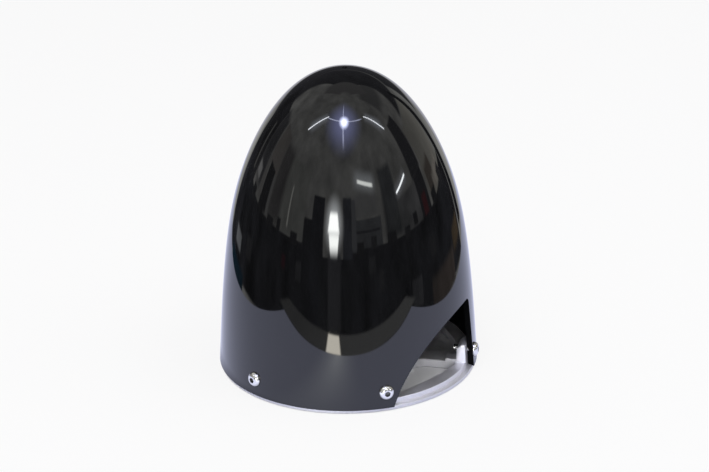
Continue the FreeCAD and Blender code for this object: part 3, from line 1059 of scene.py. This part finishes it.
def build_shell():
    """Walls and ceiling all round."""
    deselect()
    bpy.ops.mesh.primitive_uv_sphere_add(segments=64, ring_count=32, radius=ROOM_RADIUS * 1.12,
                                         location=ROOM_CENTRE)
    shell = bpy.context.object
    shell.name = "room_shell"
    shell.data.materials.append(panel_finish("room_shell", ROOM_COLOUR, (0.0, 0.0), False, 0.3))
    only_in_gloss(shell)


def build_bright_panels():
    """Lamps, with their rays and haze, and the window."""
    panel("star_glow", ((-40, 38), (30, 38), (60, 85), (-70, 85)), (2.2, 2.4, 4.4), oval=True, depth=0.9)
    panel("star", ((-15, 56), (9, 56), (16, 69), (-22, 69)), (30.0, 32.0, 44.0), oval=True, depth=0.86)
    tube("star_ray_across", (-52, 61.5), (46, 61.0), 1.1, (7.0, 7.4, 10.0),
         soft=(12.0, 0.4), bow=2.0, depth=0.88)
    tube("star_ray_up", (-3, 43.0), (-8, 82.0), 4.0, (7.0, 7.4, 10.5), soft=(10.0, 1.9), depth=0.885)
    for side, start, end, bow in (("left", (-70.5, 44.5), (-44.5, 63.4), 2.2),
                                  ("right", (48.5, 62.0), (73.0, 43.6), 3.0)):
        tube("tube_" + side, start, end, 1.5, (19.0, 19.6, 21.0), soft=(1.0, 0.4), bow=bow, depth=0.8)
        tube("tube_haze_" + side, start, end, 17.0, (1.7, 1.8, 2.0),
             soft=(7.0, 8.5), bow=bow, depth=0.83)
    tube("bar", (12.0, 29.3), (31.5, 25.6), 2.6, (11.0, 11.4, 11.0), soft=(2.5, 0.9), depth=0.8)
    tube("bar_haze", (6.0, 31.0), (36.5, 26.0), 13.0, (1.9, 2.0, 2.1), soft=(9.0, 6.5), depth=0.83)
    tube("slant", (55.4, 17.9), (72.4, 21.4), 1.3, (20.0, 20.8, 21.5), soft=(1.5, 0.4), depth=0.8)
    tube("slant_haze", (53.0, 17.6), (74.5, 21.8), 8.0, (1.3, 1.35, 1.45), soft=(5.0, 4.0), depth=0.83)
    upright("thin_line", -61.4, -59.6, 4, 21, (1.6, 1.6, 1.5), soft=(0.5, 2.0), depth=0.8)
    panel("window", ((-15.5, -1.0), (-8.5, -1.0), (-6.0, 11.0), (-18.5, 11.0)), (20.0, 20.5, 20.0),
          soft=(1.5, 5.5), depth=0.8)
    panel("window_top", ((-19.0, 7.0), (-5.8, 7.0), (-8.5, 17.5), (-16.5, 17.5)), (22.0, 22.5, 22.0),
          soft=(1.8, 3.0), depth=0.79)
    panel("window_haze", ((-24, -2), (0, -2), (-2, 26), (-23, 26)), (7.0, 7.3, 7.5),
          oval=True, depth=0.82)
    upright("window_streak", -18.5, -4.5, -16, 3, (0.17, 0.17, 0.19),
            soft=(2.5, 3.0), clutter=0.3, depth=0.83)


# Furniture and walls: name, left, right, low and high bearings, colour, softness, clutter, depth.
FURNITURE = (
    ("clutter_left", -146, -42, -16, 2.5, CLUTTER_COLOUR, 0.6, 0.9, 0.93),
    ("clutter_right", 4, 136, -16, 2.8, CLUTTER_COLOUR, 0.6, 0.9, 0.93),
    ("shelf_low", -43, -24, -16, 12, (0.04, 0.042, 0.05), 0.8, 0.5, 0.92),
    ("shelf_high", -35, -22, -16, 22, (0.05, 0.052, 0.065), 0.8, 0.6, 0.91),
    ("under_window", -26, 6, -16, 0, (0.05, 0.052, 0.06), 0.8, 0.8, 0.90),
    ("pillar", -4, 6, -2, 23, (0.13, 0.14, 0.17), 1.2, 0.4, 0.91),
    ("pillar_light", 5, 10, 1, 22, (0.34, 0.35, 0.38), 1.0, 0.0, 0.92),
    ("wall_middle", 6, 33, 13, 24, (0.54, 0.54, 0.54), 2.0, 0.2, 0.97),
    ("cabinet", 6, 35, 1, 13.5, (0.24, 0.25, 0.27), 0.8, 0.35, 0.96),
    ("cabinet_shelf", 7, 33, 7.5, 9, (0.10, 0.10, 0.12), 0.5, 0.0, 0.95),
    ("curtain", 37, 58, 1, 33, (0.17, 0.18, 0.19), 4.0, 0.5, 0.96),
    ("wall_right", 55, 84, 1, 17, (0.37, 0.37, 0.38), 2.0, 0.35, 0.98),
    ("coats", 81, 96, 0, 17, (0.06, 0.06, 0.07), 1.0, 0.6, 0.94),
    ("red_coat", 84, 92, 1, 10, (0.22, 0.04, 0.05), 1.6, 0.0, 0.935),
    ("door_frame", 79, 98, 15, 44, (0.08, 0.08, 0.09), 2.0, 0.0, 0.95),
    ("wall_beige", 98, 134, 1, 31, (0.60, 0.585, 0.53), 1.5, 0.12, 0.98),
    ("brown_box", 99, 115, 3, 14, (0.26, 0.22, 0.19), 2.5, 0.0, 0.96),
    ("pale_boxes", 107, 127, 2, 8.5, (0.80, 0.74, 0.66), 2.5, 0.4, 0.955),
    ("wall_left", -85, -41, 1, 32, (0.52, 0.53, 0.50), 3.0, 0.25, 1.0),
    ("wall_left_dim", -90, -68, 0, 34, (0.21, 0.20, 0.20), 6.0, 0.2, 0.99),
    ("screen", -105, -86, 15, 33, (0.42, 0.39, 0.37), 1.2, 0.15, 0.95),
    ("screen_leg_left", -106, -101, 3, 17, (0.42, 0.41, 0.40), 1.0, 0.0, 0.95),
    ("screen_leg_right", -90, -86, 3, 17, (0.46, 0.46, 0.46), 0.8, 0.0, 0.95),
    ("dark_box", -101, -89, 2, 17, (0.05, 0.05, 0.055), 1.0, 0.0, 0.945),
    ("corner_left", -123, -103, 2, 34, (0.13, 0.13, 0.14), 5.0, 0.5, 0.97),
    ("white_box", -119, -110, 5, 10, (0.85, 0.85, 0.85), 1.5, 0.0, 0.94),
    ("dark_left", -147, -119, -14, 30, (0.05, 0.05, 0.055), 1.5, 0.6, 0.955),
    ("pale_streak", -129, -125.5, -5, 18, (0.30, 0.30, 0.29), 1.2, 0.0, 0.94),
    ("low_box", -130, -118, -13.5, -10, (0.50, 0.52, 0.55), 0.8, 0.0, 0.91),
    ("brown_bag", 118, 134, -14, -9, (0.20, 0.145, 0.09), 1.5, 0.0, 0.915),
    ("brown_floor", 82, 118, -17, -11, (0.20, 0.16, 0.14), 1.8, 0.3, 0.912),
    ("teal_floor", -136, -110, -18, -14, (0.014, 0.05, 0.085), 1.0, 0.0, 0.905),
    ("ceiling_dim", 84, 150, 46, 78, (0.28, 0.28, 0.28), 8.0, 0.0, 0.99),
    ("red_bin", -63, -58, -7, -3, (0.12, 0.02, 0.035), 1.0, 0.0, 0.88),
    ("behind_low", 146, 226, 5, 30, (0.07, 0.07, 0.08), 3.0, 0.0, 0.975),
    ("ceiling_back", 112, 246, 62, 86, (0.34, 0.33, 0.33), 5.0, 0.0, 0.985),
)
# Things on the benches: middle bearing, width, top, grey.
BENCHES = (
    (-112, 7, 4.5, 0.06), (-97, 9, 5.5, 0.05), (-81, 9, 4.5, 0.05), (-70, 5, 6.5, 0.06),
    (-52, 8, 5.0, 0.05), (13, 7, 5.0, 0.06), (26, 6, 6.5, 0.09), (44, 10, 6.0, 0.05),
    (61, 7, 5.0, 0.08), (72, 6, 7.5, 0.05), (103, 9, 6.0, 0.06), (122, 8, 5.0, 0.08),
    (-45, 6, -3.0, 0.14), (-104, 9, -7.0, 0.10), (23, 7, 0.0, 0.11), (31, 5, -4.0, 0.09),
    (66, 12, -9.0, 0.16), (88, 8, -4.0, 0.08),
)
BENCH_HEIGHT = 5


def build_furniture():
    """Walls, shelves, boxes and benches, and the dark end of the room."""
    for name, left, right, low, high, colour, soft, clutter, depth in FURNITURE:
        upright(name, left, right, low, high, colour, soft=soft, clutter=clutter, depth=depth)
    for index, (place, width, top, grey) in enumerate(BENCHES):
        upright("bench_%d" % index, place - width / 2, place + width / 2, top - BENCH_HEIGHT, top,
                (grey, grey, grey * 1.1), soft=0.8, clutter=0.4, depth=0.905 - 0.001 * index)
    panel("post_right", ((138, -14), (146, -14), (137, 36), (132, 36)),
          (0.02, 0.02, 0.025), soft=0.8, depth=0.92)
    panel("behind", ((104, 30), (238, 24), (208, 67), (150, 67)),
          (0.07, 0.07, 0.08), soft=(9.0, 5.0), clutter=0.3, depth=0.98)


def build_sheet():
    """The white sheet behind the part, which shows in the rims of the cone."""
    deselect()
    middle = (TABLE_LEFT + TABLE_RIGHT) / 2
    bpy.ops.mesh.primitive_plane_add(size=1.0)
    sheet = bpy.context.object
    sheet.name = "room_sheet"
    turn = Matrix.Rotation(STUDIO_TURN, 4, "Z")
    place = Matrix.Translation((middle, SHEET_BACK, SHEET_HEIGHT / 2))
    sheet.matrix_world = turn @ place @ Matrix.Rotation(pi / 2, 4, "X") @ Matrix.Diagonal(
        (TABLE_RIGHT - TABLE_LEFT, SHEET_HEIGHT, 1.0, 1.0))
    finish, nodes, links, output = new_stage_finish("room_sheet")
    links.new(emitter(nodes, SHEET_COLOUR).outputs[0], output.inputs[0])
    sheet.data.materials.append(finish)
    only_in_gloss(sheet)


def build_world():
    world = bpy.data.worlds.new("studio")
    bpy.context.scene.world = world
    world.use_nodes = True
    nodes, links = world.node_tree.nodes, world.node_tree.links
    nodes.clear()
    output = nodes.new("ShaderNodeOutputWorld")
    light_path = nodes.new("ShaderNodeLightPath")

    def sky(colour, strength):
        node = nodes.new("ShaderNodeBackground")
        return set_inputs(node, Color=(*colour, 1.0), Strength=strength).outputs[0]

    soft = sky(SKY_COLOUR, SKY_STRENGTH)
    white = sky(BACKDROP_COLOUR, 1.0)
    wall = sky(WALL_COLOUR, WALL_STRENGTH)
    shown = mixed(nodes, links, light_path.outputs["Is Camera Ray"], soft, white)
    shown = mixed(nodes, links, light_path.outputs["Is Transmission Ray"], shown, white)
    links.new(mixed(nodes, links, light_path.outputs["Is Glossy Ray"], shown, wall), output.inputs[0])


def build_lamps():
    """Two large soft lamps, above in front and above to one side."""
    for name, azimuth, elevation, size, power in (
        ("lamp_front", -20.0, 58.0, 1.2, 9.0),
        ("lamp_side", 75.0, 50.0, 1.2, 5.0),
    ):
        data = bpy.data.lights.new(name, "AREA")
        data.shape = "DISK"
        data.size = size
        data.energy = power
        lamp = bpy.data.objects.new(name, data)
        bpy.context.scene.collection.objects.link(lamp)
        toward = bearing(azimuth, elevation)
        lamp.location = toward * LAMP_DISTANCE
        lamp.rotation_euler = toward.to_track_quat("Z", "Y").to_euler()
        lamp.visible_glossy = False


# ---- Camera ----
CAMERA_PLACE = Vector((375.9 * MM, -386.0 * MM, 258.2 * MM))
CAMERA_HEADING = radians(43.93)
CAMERA_DIP = 0.36803
CAMERA_ROLL = 0.011719
SENSOR_WIDTH = 36.0
FOCAL_LENGTH = 76.16
NEAREST, FARTHEST = 0.01, 50.0


def build_camera():
    data = bpy.data.cameras.new("camera")
    data.sensor_width = SENSOR_WIDTH
    data.lens = FOCAL_LENGTH
    data.clip_start = NEAREST
    data.clip_end = FARTHEST
    camera = bpy.data.objects.new("camera", data)
    bpy.context.scene.collection.objects.link(camera)
    right = Vector((cos(CAMERA_HEADING), sin(CAMERA_HEADING), 0.0))
    level_back = Vector((sin(CAMERA_HEADING), -cos(CAMERA_HEADING), 0.0))
    back = level_back * cos(CAMERA_DIP) + UP * sin(CAMERA_DIP)
    upward = back.cross(right)
    rolled_right = right * cos(CAMERA_ROLL) - upward * sin(CAMERA_ROLL)
    rolled_up = right * sin(CAMERA_ROLL) + upward * cos(CAMERA_ROLL)
    turn = Matrix((rolled_right, rolled_up, back)).transposed().to_4x4()
    camera.matrix_world = Matrix.Translation(CAMERA_PLACE) @ turn
    bpy.context.scene.camera = camera


spinner_cone(gloss_plastic(), satin_inside())
backplate(turned_aluminium())
# The second finish is the same steel darkened: painted shade in the sockets.
side_screws(bright_steel("screw_steel_finish", STEEL_COLOUR, STEEL_ROUGHNESS),
            bright_steel("screw_socket_painted_shade", SOCKET_SHADE_COLOUR, SOCKET_ROUGHNESS))
build_floor()
build_shell()
build_bright_panels()
build_furniture()
build_sheet()
build_world()
build_lamps()
build_camera()
bpy.context.scene.view_settings.view_transform = "Standard"
